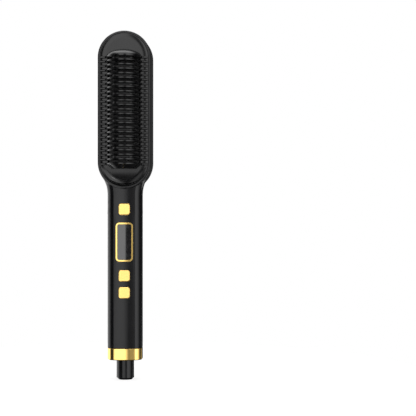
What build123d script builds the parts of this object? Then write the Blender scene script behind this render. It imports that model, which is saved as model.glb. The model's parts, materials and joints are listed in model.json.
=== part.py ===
"""Heated straightening comb with three push buttons and a swivelling cord entry, in millimetres.

It stands upright: +Z runs up the handle to the head, the comb and the buttons face -Y, and the origin
is the centre of the cord entry's lower end, on the handle's long axis.
"""

from build123d import *
import math
import os

os.makedirs("parts", exist_ok=True)

# Cord entry and swivel
GLAND_RADIUS = 7.18
GLAND_LENGTH = 16.2
GLAND_CHAMFER = 1.6
CORD_BORE_RADIUS = 3.1
CORD_BORE_DEPTH = 21.0
SWIVEL_GAP = 0.2
SPINDLE_RADIUS = 5.0
SPINDLE_NECK_RADIUS = 4.6
SPINDLE_TOP = 37.0
BEARING_LENGTH = 7.6
BEARING_WALL = 2.4
RUNNING_CLEARANCE = 0.06
CLIP_THICKNESS = 0.9
CLIP_WIDTH = 2.2
CLIP_GROOVE = 0.4
SLIP_RING_HEIGHT = 2.4
SLIP_RING_WALL = 0.8
SLIP_RING_PITCH = 5.0
BRUSH_GAP = 0.1
BRUSH_THICKNESS = 0.4
BRUSH_HALF_WIDTH = 4.4
BRUSH_TAB = 1.3
SLIP_RING_FROM_CLIP = 3.0
BLOCK_FROM_CLIP = 1.5
BLOCK_GAP = 0.4

# Handle section
HANDLE_WIDTH = 28.2
HANDLE_FRONT = 12.5
HANDLE_BACK = 12.5
HANDLE_CROWN = 3.3
HANDLE_CORNER = 7.5
HANDLE_LENGTH = 149.4
LOBE_HALF_WIDTH = 5.3
LOBE_RISE = 0.95
LOBE_FADED = 0.05
SIDE_PLANE_Y = 2.5
WALL = 2.0

# Gold end ring and end cap
RING_HEIGHT = 9.4
RING_WALL = 1.6
RING_LOW_BEVEL = 0.6
RING_HIGH_BEVEL = 0.25
SHADOW_GAP = 0.5
FIT_GAP = 0.1
CAP_COLLAR_HEIGHT = 9.0
CAP_WALL = 1.6
CAP_FLOOR = 2.2

# Neck
NECK_STRAIGHT = 42.0
NECK_ROUND = 24.5
NECK_SWEEP = 14.0
NECK_SWEEP_BELOW_HEAD = 25.6
NECK_TOP_WIDTH = 38.6
NECK_TOP_BELOW_HEAD = 8.0

# Head
HEAD_SPAN = 84.5
HEAD_FRONT_WIDTH = 42.6
HEAD_BACK_WIDTH = 44.5
HEAD_FRONT = 13.5
HEAD_BACK = 13.5
HEAD_RIM_ROUND = 1.1
HEAD_BACK_WALL = 3.5
SEAM_Y_HANDLE = 2.5
SEAM_Y_HEAD = 9.5

# Comb guard
GUARD_GAP = 0.1
GUARD_RIM_WIDTH = 1.7
GUARD_RECESS = 0.1
GUARD_SEAT_DEPTH = 3.1
GUARD_EDGE_CHAMFER = 0.35
GUARD_PLATE = 2.2
GUARD_CROWN = 1.0
GUARD_BORDER_WIDTH = 3.8
GUARD_BORDER_DROP = 0.82
GUARD_STEP = 0.6
GUARD_LOW_EXTRA = 1.7
GUARD_LOW_RISE = 3.0
LEDGE_WIDTH = 1.9
LEDGE_THICKNESS = 1.7
SKIRT_WALL = 1.5
SNAP_LENGTH = 6.0
SNAP_DEPTH = 0.6
SNAP_FROM_MIDDLE = 16.8
LOW_END_LENGTH = 19.1
LOW_END_DROP = 3.4

# Ribs of the comb
RIB_COUNT = 25
COMB_DROP = 0.95
RIB_PITCH = 3.567
RIB_THICKNESS = 2.0
RIB_CREST = 0.9
RIB_SHARPEN = 0.7
RIB_HALF_WIDTH = 14.3
RIB_HEIGHT = 18.9
RIB_DEPTH = 4.0
RIB_FLANK = 3.4
RIB_FOOT_REACH = 19.2
RIB_FOOT_HEIGHT = 0.6
RIB_FOOT_ROUND = 1.6
COMB_OPENING_HALF = 13.3
TOP_CLOSURE_LENGTH = 6.2
LOW_CLOSURE_LENGTH = 3.8
LOW_CLOSURE_TAPER = 4.5
CLOSURE_WALL = 2.0
ARCH_SINK = 0.4

# Heater
FIN_THICKNESS = 1.2
FIN_HALF_WIDTH = 8.6
FIN_HEIGHT = 12.1
FIN_CORNER = 4.5
PLATE_HALF_WIDTH = 12.0
PLATE_THICKNESS = 2.5
PLATE_DROP = 1.4
PLATE_END = 5.8
PLATE_MARGIN = 1.0
PLATE_CLEARANCE = 0.5
HEATER_SCREW_INSET = 4.0
HEATER_BOSS_RADIUS = 2.4
ELEMENT_WIDTH = 10.0
ELEMENT_LENGTH = 70.0
ELEMENT_THICKNESS = 1.3
PAD_LENGTH = 6.0
MICA_WIDTH = 11.0
MICA_THICKNESS = 0.3
CLAMP_WIDTH = 17.2
CLAMP_THICKNESS = 0.8
CLAMP_SCREW_INSET = 1.8
CLAMP_SCREW_FROM_END = 6.0
CLAMP_SCREW_BITE = 2.0
FUSE_RADIUS = 2.0
FUSE_LENGTH = 9.0
FUSE_TO_ELEMENT = 3.0
THERMISTOR_RADIUS = 1.2
THERMISTOR_LENGTH = 6.0

# Gold ring and panel on the back of the head
TRIM_OUTER_HALF = 20.9
TRIM_INNER_HALF = 16.5
TRIM_SEAT_DEPTH = 1.5
TRIM_PROUD = 0.4
TRIM_CREST_WIDTH = 1.0
TRIM_INNER_BEVEL = 0.5
TRIM_OUTER_DROP = 0.7
PANEL_OPENING_HALF = 14.6
PANEL_RIM_BELOW_BACK = 0.5
PANEL_STEP_HALVES = [13.2, 10.0, 6.8]
PANEL_STEP_DROP = 0.7
PANEL_FLOOR = 1.2

# Buttons, measured down from the lower centre of the head
BUTTON_SIZE = 9.0
BUTTON_CORNER = 2.0
BUTTON_PROUD = 0.6
BUTTON_EDGE_ROUND = 0.5
BUTTON_GAP = 0.15
BUTTON_LIP = 0.9
BUTTON_LIP_THICKNESS = 0.8
BUTTON_TRAVEL = 0.4
POWER_BELOW_HEAD = 37.7
UP_BELOW_HEAD = 91.2
DOWN_BELOW_HEAD = 104.8
SWITCH_SIZE = 6.0
SWITCH_HEIGHT = 3.5
PLUNGER_RADIUS = 1.7
PLUNGER_OUT = 0.9
PLUNGER_IN = 0.9
PLUNGER_GAP = 0.05
WELL_SPARE = 0.2

# Display
DISPLAY_BELOW_HEAD = 64.1
FRAME_WIDTH = 13.8
FRAME_HEIGHT = 31.2
FRAME_BAND = 1.2
FRAME_CORNER = 2.9
FRAME_PROUD = 0.3
FRAME_LIP = 1.2
FRAME_LIP_THICKNESS = 0.8
FRAME_SHELF = 0.8
GLASS_THICKNESS = 1.4
GLASS_SUNK = 0.5

# Board and what it carries
BOARD_WIDTH = 19.0
BOARD_THICKNESS = 1.6
BOARD_MARGIN = 10.0
BOSS_RADIUS = 2.0
BOSS_HALF_SPACING = 7.5
BOSS_FROM_BOARD_END = 3.4
SCREW_RADIUS = 1.0
SCREW_HEAD_RADIUS = 1.8
SCREW_HEAD_HEIGHT = 1.2
SCREW_GRIP = 4.0
SCREW_SLOT = 0.5
GUARD_BITE = 0.8
LEAD_LAP = 2.0
PILOT_GAP = 0.02
OVERLAP = 0.5
CHIP_SIZE = 7.0
CHIP_HEIGHT = 1.2
ELECTROLYTIC_RADIUS = 4.0
ELECTROLYTIC_LENGTH = 12.0
ELECTROLYTIC_BELOW_POWER = 11.0
TRIAC_WIDTH = 10.0
TRIAC_BODY_HEIGHT = 9.0
TRIAC_BODY_DEPTH = 4.4
TRIAC_TAB_HEIGHT = 6.0
TRIAC_TAB_DEPTH = 1.3
TRIAC_HOLE_RADIUS = 1.6
TRIAC_BELOW_DISPLAY = 17.0
FILM_WIDTH = 13.0
FILM_HEIGHT = 5.0
FILM_DEPTH = 10.0
FILM_BELOW_UP = 3.0
VARISTOR_RADIUS = 3.5
VARISTOR_DEPTH = 4.0
INPUT_FUSE_RADIUS = 1.8
INPUT_FUSE_LENGTH = 10.0
FOOT_PARTS_X = 5.0
FOOT_PARTS_ABOVE_DOWN = 2.0

# Shell screws
POST_RADIUS = 2.6
POST_WALL_BITE = 0.4
POST_FROM_MIDDLE = 28.0
SHELL_SCREW_GRIP = 7.0
SHELL_SCREW_HEAD_RADIUS = 2.1
SHELL_SCREW_SEAT = 1.2
SHELL_HOLE_RADIUS = 1.3

# Leads
MAINS_LEAD_RADIUS = 0.8
HEATER_LEAD_RADIUS = 0.7
SENSOR_LEAD_RADIUS = 0.45
LEAD_HALF_SPACING = 4.0
MAINS_HALF_SPACING = 3.4
SENSOR_HALF_SPACING = 0.6
LEAD_LIFT = 0.05
BEND_SHARE = 0.45
MAINS_LEAVES = 0.35
MAINS_ARRIVES = 0.7
HEATER_LEAVES = 0.3
HEATER_ARRIVES = 0.75

# Heights along the handle
CAP_BOTTOM = GLAND_LENGTH + SWIVEL_GAP
RING_TOP = CAP_BOTTOM + RING_HEIGHT
HANDLE_BOTTOM = RING_TOP + SHADOW_GAP
HEAD_LOW = HANDLE_BOTTOM + HANDLE_LENGTH
HEAD_MIDDLE = HEAD_LOW + HEAD_SPAN / 2
HEAD_HIGH = HEAD_LOW + HEAD_SPAN
NECK_START = HEAD_LOW - NECK_STRAIGHT
NECK_TOP = HEAD_LOW - NECK_TOP_BELOW_HEAD
SWEEP_START = HEAD_LOW - NECK_SWEEP_BELOW_HEAD
POWER_Z = HEAD_LOW - POWER_BELOW_HEAD
DISPLAY_Z = HEAD_LOW - DISPLAY_BELOW_HEAD
UP_Z = HEAD_LOW - UP_BELOW_HEAD
DOWN_Z = HEAD_LOW - DOWN_BELOW_HEAD
COMB_HIGH = HEAD_MIDDLE - COMB_DROP + RIB_PITCH * (RIB_COUNT - 1) / 2
COMB_LOW = COMB_HIGH - RIB_PITCH * (RIB_COUNT - 1)

# Planes from front to back
SEAT_Y = -HEAD_FRONT + GUARD_SEAT_DEPTH
LEDGE_BACK_Y = SEAT_Y + LEDGE_THICKNESS
GUARD_EDGE_Y = -HEAD_FRONT - GUARD_RECESS
GUARD_FACE_Y = GUARD_EDGE_Y - GUARD_CROWN
PLATE_FRONT_Y = GUARD_FACE_Y + GUARD_PLATE + PLATE_DROP
PLATE_BACK_Y = PLATE_FRONT_Y + PLATE_THICKNESS
ELEMENT_BACK_Y = PLATE_BACK_Y + ELEMENT_THICKNESS
MICA_BACK_Y = ELEMENT_BACK_Y + MICA_THICKNESS
CLAMP_BACK_Y = MICA_BACK_Y + CLAMP_THICKNESS
CAVITY_BACK_Y = HEAD_BACK - HEAD_BACK_WALL
TRIM_SEAT_Y = HEAD_BACK - TRIM_SEAT_DEPTH
PANEL_RIM_Y = HEAD_BACK - PANEL_RIM_BELOW_BACK
SHELL_SCREW_SEAT_Y = TRIM_SEAT_Y - SHELL_SCREW_SEAT


def crown_y(x, inset):
    """Where the handle's front face lies at x, inset from the outer skin."""
    half = HANDLE_WIDTH / 2 - inset
    radius = (half**2 + HANDLE_CROWN**2) / (2 * HANDLE_CROWN)
    return -HANDLE_FRONT + inset + radius - math.sqrt(radius**2 - x**2)


# The stack from a button through its switch to the board
BUTTON_LIP_Y = crown_y(BUTTON_SIZE / 2 + BUTTON_LIP, WALL) + FIT_GAP
PLUNGER_TOP_Y = BUTTON_LIP_Y + BUTTON_LIP_THICKNESS
SWITCH_FRONT_Y = PLUNGER_TOP_Y + PLUNGER_OUT
BOARD_FRONT_Y = SWITCH_FRONT_Y + SWITCH_HEIGHT
BOARD_BACK_Y = BOARD_FRONT_Y + BOARD_THICKNESS
BOARD_BOTTOM = DOWN_Z - BOARD_MARGIN
BOARD_TOP = POWER_Z + BOARD_MARGIN

# The element lies behind the middle of the comb, with its solder pads at the lower end
ELEMENT_LOW = (COMB_HIGH + COMB_LOW - ELEMENT_LENGTH) / 2
ELEMENT_HIGH = ELEMENT_LOW + ELEMENT_LENGTH
CLAMP_LOW = ELEMENT_LOW + PAD_LENGTH
PAD_Z = ELEMENT_LOW + PAD_LENGTH / 2
PAD_Y = max(ELEMENT_BACK_Y + HEATER_LEAD_RADIUS, PLATE_BACK_Y + FUSE_RADIUS) + LEAD_LIFT
FUSE_LOW = ELEMENT_LOW - FUSE_TO_ELEMENT - FUSE_LENGTH

# Half widths of the head
SEAT_HALF = HEAD_FRONT_WIDTH / 2 - GUARD_RIM_WIDTH
GUARD_HALF = SEAT_HALF - GUARD_GAP
LEDGE_HALF = SEAT_HALF - LEDGE_WIDTH
SKIRT_HALF = LEDGE_HALF - GUARD_GAP


def front_plane(y):
    """A plane across the object at y, seen from the front, with its own y axis up."""
    return Plane(origin=(0, y, 0), x_dir=(1, 0, 0), z_dir=(0, -1, 0))


def slab(sketch, y_front, y_back):
    """A flat sketch in (x, z) made solid between two planes."""
    return extrude(front_plane(y_back) * sketch, y_back - y_front)


def head_slot(half_width):
    return Pos(0, HEAD_MIDDLE) * SlotCenterToCenter(HEAD_SPAN, 2 * half_width, rotation=90)


def head_slab(half_width, y_front, y_back):
    return slab(head_slot(half_width), y_front, y_back)


def head_frustum(half_front, y_front, half_back, y_back):
    """A stadium whose half width changes evenly from the front plane to the back plane."""
    sections = [front_plane(y_front) * head_slot(half_front), front_plane(y_back) * head_slot(half_back)]
    return loft(sections, ruled=True)


def head_half_width(y):
    share = (y + HEAD_FRONT) / (HEAD_FRONT + HEAD_BACK)
    return (HEAD_FRONT_WIDTH + (HEAD_BACK_WIDTH - HEAD_FRONT_WIDTH) * share) / 2


def rounded_box(width, height, corner, x, z):
    return Pos(x, z) * RectangleRounded(width, height, corner)


def rod(radius, x, z, y_front, y_back):
    """A round bar along Y."""
    return slab(Pos(x, z) * Circle(radius), y_front, y_back)


def handle_outline(z, half_width, crease, inset):
    """The handle's section: a crowned front with round corners and a back of three lobes."""
    half = half_width - inset
    front = -HANDLE_FRONT + inset
    corner_y = front + HANDLE_CROWN
    back = HANDLE_BACK - inset
    crease_y = back - crease
    lobe_x = half - LOBE_HALF_WIDTH
    lobe_y = crease_y - SIDE_PLANE_Y
    edges = [
        ThreePointArc((-half, corner_y), (0, front), (half, corner_y)),
        Line((half, corner_y), (half, SIDE_PLANE_Y)),
        EllipticalCenterArc((LOBE_HALF_WIDTH, SIDE_PLANE_Y), lobe_x, lobe_y, 0, arc_size=90),
        ThreePointArc((LOBE_HALF_WIDTH, crease_y), (0, back), (-LOBE_HALF_WIDTH, crease_y)),
        EllipticalCenterArc((-LOBE_HALF_WIDTH, SIDE_PLANE_Y), lobe_x, lobe_y, 90, arc_size=90),
        Line((-half, SIDE_PLANE_Y), (-half, corner_y)),
    ]
    face = make_face(edges)
    corners = [v for v in face.vertices() if abs(v.Y - corner_y) < 0.001]
    return Pos(0, 0, z) * fillet(corners, HANDLE_CORNER - inset)


def handle_prism(z_low, z_high, inset):
    outline = handle_outline(z_low, HANDLE_WIDTH / 2, LOBE_RISE, inset)
    return extrude(outline, z_high - z_low, dir=(0, 0, 1))


def handle_bevel(z_low, inset_low, z_high, inset_high):
    """A slice of the handle whose section shrinks evenly from one inset to the other."""
    half = HANDLE_WIDTH / 2
    low = handle_outline(z_low, half, LOBE_RISE, inset_low)
    high = handle_outline(z_high, half, LOBE_RISE, inset_high)
    return loft([low, high], ruled=True)


def neck_half_width(z):
    """Half width of the neck: straight, then a concave sweep out to the head."""
    rise = max(0, z - SWEEP_START)
    swept = HANDLE_WIDTH / 2 + NECK_ROUND - math.sqrt(NECK_ROUND**2 - rise**2)
    return min(swept, NECK_TOP_WIDTH / 2)


def neck_crease(z):
    share = min(1, (z - NECK_START) / (SWEEP_START + NECK_SWEEP / 3 - NECK_START))
    eased = share * share * (3 - 2 * share)
    return LOBE_RISE + (LOBE_FADED - LOBE_RISE) * eased


def neck(inset):
    """The handle's section carried up into the head while its creases fade."""
    sweep = SWEEP_START - NECK_START
    heights = [NECK_START, NECK_START + sweep * 0.25, NECK_START + sweep * 0.5, NECK_START + sweep * 0.75]
    heights += [SWEEP_START, SWEEP_START + NECK_SWEEP / 3, SWEEP_START + NECK_SWEEP * 2 / 3]
    heights += [SWEEP_START + NECK_SWEEP, NECK_TOP]
    sections = [handle_outline(z, neck_half_width(z), neck_crease(z), inset) for z in heights]
    return loft(sections)


def outer_form():
    """The closed outer skin of handle, neck and head."""
    head = head_frustum(HEAD_FRONT_WIDTH / 2, -HEAD_FRONT, HEAD_BACK_WIDTH / 2, HEAD_BACK)
    rims = head.edges().filter_by(lambda e: abs(abs(e.center().Y) - HEAD_FRONT) < 0.01)
    head = fillet(rims, HEAD_RIM_ROUND)
    return handle_prism(HANDLE_BOTTOM, NECK_START, 0) + neck(0) + head


def inner_form():
    """The hollow inside the shells."""
    half_low = head_half_width(LEDGE_BACK_Y) - WALL
    half_high = head_half_width(CAVITY_BACK_Y) - WALL
    head = head_frustum(half_low, LEDGE_BACK_Y, half_high, CAVITY_BACK_Y)
    handle = handle_prism(HANDLE_BOTTOM - 1, NECK_START, WALL)
    return handle + neck(WALL) + head


def hollow_body():
    """Both shells as one, with the ledge that the comb guard rests on."""
    body = outer_form() - inner_form()
    body += head_slab(SEAT_HALF + GUARD_RIM_WIDTH / 2, SEAT_Y - 1, LEDGE_BACK_Y)
    body -= head_slab(LEDGE_HALF, SEAT_Y - 1, LEDGE_BACK_Y)
    return body - head_slab(SEAT_HALF, GUARD_FACE_Y - 2, SEAT_Y)


def front_half_space():
    """Everything in front of the seam, which steps back where the neck meets the head."""
    reach = HEAD_BACK_WIDTH
    top = HEAD_HIGH + HEAD_BACK_WIDTH
    points = [
        (-2 * reach, -reach),
        (SEAM_Y_HANDLE, -reach),
        (SEAM_Y_HANDLE, NECK_START),
        (SEAM_Y_HEAD, NECK_TOP),
        (SEAM_Y_HEAD, top),
        (-2 * reach, top),
    ]
    outline = Plane.YZ * make_face(Polyline(points, close=True))
    return extrude(outline, reach, both=True)


def post_places():
    """Centres of the four shell screws, each beside the head's straight sides."""
    x = head_half_width(CAVITY_BACK_Y) - WALL - POST_RADIUS + POST_WALL_BITE
    return [(sx * x, HEAD_MIDDLE + sz * POST_FROM_MIDDLE) for sx in (-1, 1) for sz in (-1, 1)]


def board_screw_places():
    above_frame = DISPLAY_Z + FRAME_HEIGHT / 2 + FRAME_LIP
    below_button = POWER_Z - BUTTON_SIZE / 2 - BUTTON_LIP
    heights = [BOARD_BOTTOM + BOSS_FROM_BOARD_END, (above_frame + below_button) / 2]
    return [(sx * BOSS_HALF_SPACING, z) for sx in (-1, 1) for z in heights]


def front_shell(body, front):
    shell = body & front
    for x, z in post_places():
        shell += rod(POST_RADIUS, x, z, LEDGE_BACK_Y, SEAM_Y_HEAD)
    for x, z in board_screw_places():
        shell += rod(BOSS_RADIUS, x, z, crown_y(BOSS_HALF_SPACING, WALL) - WALL / 2, BOARD_FRONT_Y)
    for x, z in post_places():
        shell -= rod(SCREW_RADIUS + PILOT_GAP, x, z, SEAM_Y_HEAD - SHELL_SCREW_GRIP - 1, SEAM_Y_HEAD)
    for x, z in board_screw_places():
        shell -= rod(SCREW_RADIUS + PILOT_GAP, x, z, BOARD_FRONT_Y - SCREW_GRIP, BOARD_FRONT_Y)
    for z in (POWER_Z, UP_Z, DOWN_Z):
        size = BUTTON_SIZE + 2 * BUTTON_GAP
        opening = rounded_box(size, size, BUTTON_CORNER + BUTTON_GAP, 0, z)
        shell -= slab(opening, -HANDLE_FRONT - 2, -HANDLE_FRONT / 2)
    width = FRAME_WIDTH + 2 * GUARD_GAP
    height = FRAME_HEIGHT + 2 * GUARD_GAP
    opening = rounded_box(width, height, FRAME_CORNER + GUARD_GAP, 0, DISPLAY_Z)
    return shell - slab(opening, -HANDLE_FRONT - 2, -HANDLE_FRONT / 2)


def rear_shell(body, front):
    shell = body - front
    shell -= head_slab(TRIM_OUTER_HALF + GUARD_GAP / 2, TRIM_SEAT_Y, HEAD_BACK + 1)
    shell -= head_slab(PANEL_OPENING_HALF, CAVITY_BACK_Y - 1, HEAD_BACK + 1)
    for x, z in post_places():
        shell += rod(POST_RADIUS, x, z, SEAM_Y_HEAD, CAVITY_BACK_Y + OVERLAP)
    for x, z in post_places():
        shell -= rod(SHELL_HOLE_RADIUS, x, z, SEAM_Y_HEAD - 1, TRIM_SEAT_Y)
        shell -= rod(SHELL_SCREW_HEAD_RADIUS + FIT_GAP, x, z, SHELL_SCREW_SEAT_Y, TRIM_SEAT_Y)
    return shell


def back_trim_ring():
    """Gold oval: a flat crest near the inner edge and a brushed slope out to the rim."""
    crest_y = HEAD_BACK + TRIM_PROUD
    crest_half = TRIM_INNER_HALF + TRIM_INNER_BEVEL + TRIM_CREST_WIDTH
    slope_y = crest_y - TRIM_OUTER_DROP
    ring = head_slab(TRIM_OUTER_HALF, TRIM_SEAT_Y, slope_y)
    ring += head_frustum(TRIM_OUTER_HALF, slope_y, crest_half, crest_y)
    ring -= head_slab(TRIM_INNER_HALF, TRIM_SEAT_Y - 1, crest_y + 1)
    bevel_y = crest_y - TRIM_INNER_BEVEL
    return ring - head_frustum(TRIM_INNER_HALF, bevel_y, TRIM_INNER_HALF + TRIM_INNER_BEVEL, crest_y)


def back_panel():
    """Dished oval panel: a rim on the shell's seat and steps that go down to a flat middle."""
    bottom = PANEL_RIM_Y - len(PANEL_STEP_HALVES) * PANEL_STEP_DROP - PANEL_FLOOR
    panel = head_slab(TRIM_INNER_HALF - FIT_GAP / 2, TRIM_SEAT_Y, PANEL_RIM_Y)
    panel += head_slab(PANEL_OPENING_HALF - FIT_GAP, bottom, TRIM_SEAT_Y)
    for step, half in enumerate(PANEL_STEP_HALVES):
        y = PANEL_RIM_Y - (step + 1) * PANEL_STEP_DROP
        panel -= head_slab(half, y, PANEL_RIM_Y + 1)
    return panel


def arch(half_width, height):
    """Half an ellipse in (x, y) that stands forward of the guard's face, its base sunk into that face."""
    y = GUARD_FACE_Y
    sunk = y + ARCH_SINK
    top = EllipticalCenterArc((0, y), half_width, height, 180, arc_size=180)
    base = Polyline((half_width, y), (half_width, sunk), (-half_width, sunk), (-half_width, y))
    return make_face([top] + base.edges())


def rib_profile():
    """A rib seen along the handle: an arch with low feet that run out over the face."""
    foot_top = GUARD_FACE_Y - RIB_FOOT_HEIGHT
    foot_back = GUARD_FACE_Y + GUARD_PLATE - FIT_GAP
    feet = Pos(0, (foot_top + foot_back) / 2) * Rectangle(2 * RIB_FOOT_REACH, foot_back - foot_top)
    gap = Pos(0, foot_back) * Rectangle(2 * COMB_OPENING_HALF, 2 * (foot_back - GUARD_FACE_Y))
    solid = arch(RIB_HALF_WIDTH, RIB_HEIGHT) + feet
    at_foot = [v for v in solid.vertices() if abs(v.Y - foot_top) < 0.001]
    joints = [v for v in at_foot if abs(v.X) < RIB_HALF_WIDTH + 0.001]
    solid = fillet(joints, RIB_FOOT_ROUND)
    return solid - gap - arch(RIB_HALF_WIDTH - RIB_FLANK, RIB_HEIGHT - RIB_DEPTH)


def comb_rib():
    """One rib about z = 0: a narrow flat crest between bevelled flanks, and round ends to its feet."""
    flank = (RIB_THICKNESS - RIB_CREST) / 2
    taper = math.degrees(math.atan(RIB_SHARPEN / flank))
    profile = rib_profile()
    side = extrude(Pos(0, 0, RIB_CREST / 2) * profile, flank, taper=taper)
    rib = extrude(profile, RIB_CREST / 2, both=True) + side + mirror(side, Plane.XY)
    feet = Plane.XZ * SlotOverall(2 * RIB_FOOT_REACH, RIB_THICKNESS)
    return rib & extrude(feet, 2 * HEAD_FRONT, both=True).moved(Pos(0, GUARD_FACE_Y, 0))


def top_closure():
    """Quarter dome that closes the vault above the first rib."""
    outer = scale(Sphere(1), by=(RIB_HALF_WIDTH, RIB_HEIGHT, TOP_CLOSURE_LENGTH))
    hollow = (RIB_HALF_WIDTH - RIB_FLANK, RIB_HEIGHT - RIB_DEPTH, TOP_CLOSURE_LENGTH - CLOSURE_WALL)
    inner = scale(Sphere(1), by=hollow)
    size = 2 * RIB_HEIGHT
    keep = Pos(0, -size / 2 + CLOSURE_WALL / 2, size / 2) * Box(size, size, size)
    return Pos(0, GUARD_FACE_Y, COMB_HIGH) * ((outer & keep) - inner)


def low_closure():
    """Tapered end that closes the vault below the last rib."""
    near = Pos(0, 0, COMB_LOW) * arch(RIB_HALF_WIDTH, RIB_HEIGHT)
    far = arch(RIB_HALF_WIDTH - LOW_CLOSURE_TAPER, RIB_HEIGHT - LOW_CLOSURE_TAPER)
    outer = loft([near, Pos(0, 0, COMB_LOW - LOW_CLOSURE_LENGTH) * far], ruled=True)
    inner = arch(RIB_HALF_WIDTH - RIB_FLANK - 1, RIB_HEIGHT - RIB_DEPTH - 1)
    return outer - extrude(Pos(0, 0, COMB_LOW) * inner, CLOSURE_WALL - LOW_CLOSURE_LENGTH)


def arc_radius(length, drop):
    """Radius of an arc that leaves a flat face and falls by drop over length."""
    return (length**2 + drop**2) / (2 * drop)


def low_end_cut():
    """What the guard's face loses where its lower end curves back."""
    radius = arc_radius(LOW_END_LENGTH, LOW_END_DROP)
    start = HEAD_LOW - HEAD_FRONT_WIDTH / 2 + LOW_END_LENGTH
    reach = 2 * HEAD_BACK_WIDTH
    block = Pos(0, GUARD_FACE_Y, start - radius / 2) * Box(reach, 6 * LOW_END_DROP, radius)
    return block - Pos(0, GUARD_FACE_Y + radius, start) * Rot(0, 90, 0) * Cylinder(radius, 2 * reach)


def heater_screw_places():
    x = PLATE_HALF_WIDTH - HEATER_SCREW_INSET
    high = COMB_HIGH + TOP_CLOSURE_LENGTH + SCREW_HEAD_RADIUS + PLATE_MARGIN
    low = COMB_LOW - LOW_CLOSURE_LENGTH - SCREW_HEAD_RADIUS - PLATE_MARGIN
    return [(sx * x, z) for sx in (-1, 1) for z in (low, high)]


def heater_plate_ends():
    heights = [z for x, z in heater_screw_places()]
    margin = SCREW_HEAD_RADIUS + PLATE_MARGIN
    return min(heights) - margin, max(heights) + margin


def guard_pocket():
    """The hollow behind the guard's face, shallower under the lower end that curves back."""
    floor_y = GUARD_FACE_Y + GUARD_PLATE
    pocket = head_slab(SKIRT_HALF - SKIRT_WALL, floor_y, LEDGE_BACK_Y + 1)
    size = 2 * HEAD_BACK_WIDTH
    top = heater_plate_ends()[0] - PLATE_CLEARANCE
    below = Pos(0, top - size / 2) * Rectangle(size, size)
    return pocket - slab(below, floor_y - 1, floor_y + GUARD_LOW_EXTRA)


def guard_plate():
    """The oval face of the guard: flat middle, rounded border, and a lower end that curves back."""
    edge = head_slab(GUARD_HALF, GUARD_EDGE_Y, SEAT_Y)
    outer = edge.edges().filter_by(lambda e: abs(e.center().Y - GUARD_EDGE_Y) < 0.01)
    plate = chamfer(outer, GUARD_EDGE_CHAMFER) - Pos(0, GUARD_BORDER_DROP, 0) * low_end_cut()
    border_half = GUARD_HALF - GUARD_STEP
    radius = arc_radius(GUARD_BORDER_WIDTH, GUARD_BORDER_DROP)
    width = 2 * (border_half - GUARD_BORDER_WIDTH + radius)
    outline = SlotCenterToCenter(HEAD_SPAN - GUARD_LOW_RISE, width, rotation=90)
    outline = Pos(0, HEAD_MIDDLE + GUARD_LOW_RISE / 2) * outline
    face = slab(outline, GUARD_FACE_Y, GUARD_FACE_Y + 2 * radius) - low_end_cut()
    border = face.edges().filter_by(lambda e: e.center().Y < GUARD_FACE_Y + radius / 2)
    plate += fillet(border, radius) & head_slab(border_half, GUARD_FACE_Y - 1, SEAT_Y)
    plate += head_slab(SKIRT_HALF, SEAT_Y, LEDGE_BACK_Y)
    return plate - guard_pocket()


def guard_hooks():
    """Snap hooks on the skirt, which grip behind the ledge of the shell."""
    hooks = []
    for sx in (-1, 1):
        for sz in (-1, 0, 1):
            z = HEAD_MIDDLE + sz * SNAP_FROM_MIDDLE
            x = sx * (SKIRT_HALF + SNAP_DEPTH / 2 - SKIRT_WALL / 2)
            hook = Box(SKIRT_WALL + SNAP_DEPTH, SNAP_DEPTH, SNAP_LENGTH)
            hooks.append(Pos(x, LEDGE_BACK_Y + FIT_GAP + SNAP_DEPTH / 2, z) * hook)
            root = Box(SKIRT_WALL, SNAP_DEPTH + 2 * FIT_GAP, SNAP_LENGTH)
            hooks.append(Pos(sx * (SKIRT_HALF - SKIRT_WALL / 2), LEDGE_BACK_Y + SNAP_DEPTH / 2, z) * root)
    return hooks


def comb_guard():
    plate = guard_plate()
    opening = Pos(0, (COMB_HIGH + COMB_LOW) / 2) * Rectangle(2 * COMB_OPENING_HALF, COMB_HIGH - COMB_LOW)
    plate -= slab(opening, GUARD_FACE_Y - 1, SEAT_Y)
    for x, z in heater_screw_places():
        plate += rod(HEATER_BOSS_RADIUS, x, z, GUARD_FACE_Y + GUARD_PLATE - OVERLAP, PLATE_FRONT_Y)
    tip_y = PLATE_FRONT_Y - PLATE_DROP - GUARD_BITE - FIT_GAP
    for x, z in heater_screw_places():
        plate -= rod(SCREW_RADIUS + PILOT_GAP, x, z, tip_y, PLATE_FRONT_Y)
    rib = comb_rib()
    ribs = [rib.moved(Pos(0, 0, COMB_LOW + i * RIB_PITCH)) for i in range(RIB_COUNT)]
    return plate + guard_hooks() + ribs + top_closure() + low_closure()


def heater_plate():
    """Plate with a fin up every second gap of the comb."""
    low, high = heater_plate_ends()
    outline = rounded_box(2 * PLATE_HALF_WIDTH, high - low, PLATE_END, 0, (low + high) / 2)
    plate = slab(outline, PLATE_FRONT_Y, PLATE_BACK_Y)
    top_y = GUARD_FACE_Y - FIN_HEIGHT
    height = PLATE_FRONT_Y - top_y + 1
    blade = Pos(0, top_y + height / 2) * Rectangle(2 * FIN_HALF_WIDTH, height)
    corners = [v for v in blade.vertices() if v.Y < top_y + 0.001]
    blade = fillet(corners, FIN_CORNER)
    fins = []
    for i in range(RIB_COUNT // 2):
        z = COMB_HIGH - RIB_PITCH * (0.5 + 2 * i)
        fins.append(extrude(Pos(0, 0, z - FIN_THICKNESS / 2) * blade, FIN_THICKNESS))
    plate = plate + fins
    for x, z in heater_screw_places():
        plate -= rod(SCREW_RADIUS + PILOT_GAP, x, z, PLATE_FRONT_Y - 1, PLATE_BACK_Y + 1)
    for x, z in clamp_screw_places():
        plate -= rod(SCREW_RADIUS + PILOT_GAP, x, z, PLATE_BACK_Y - CLAMP_SCREW_BITE, PLATE_BACK_Y + 1)
    return plate


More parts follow.
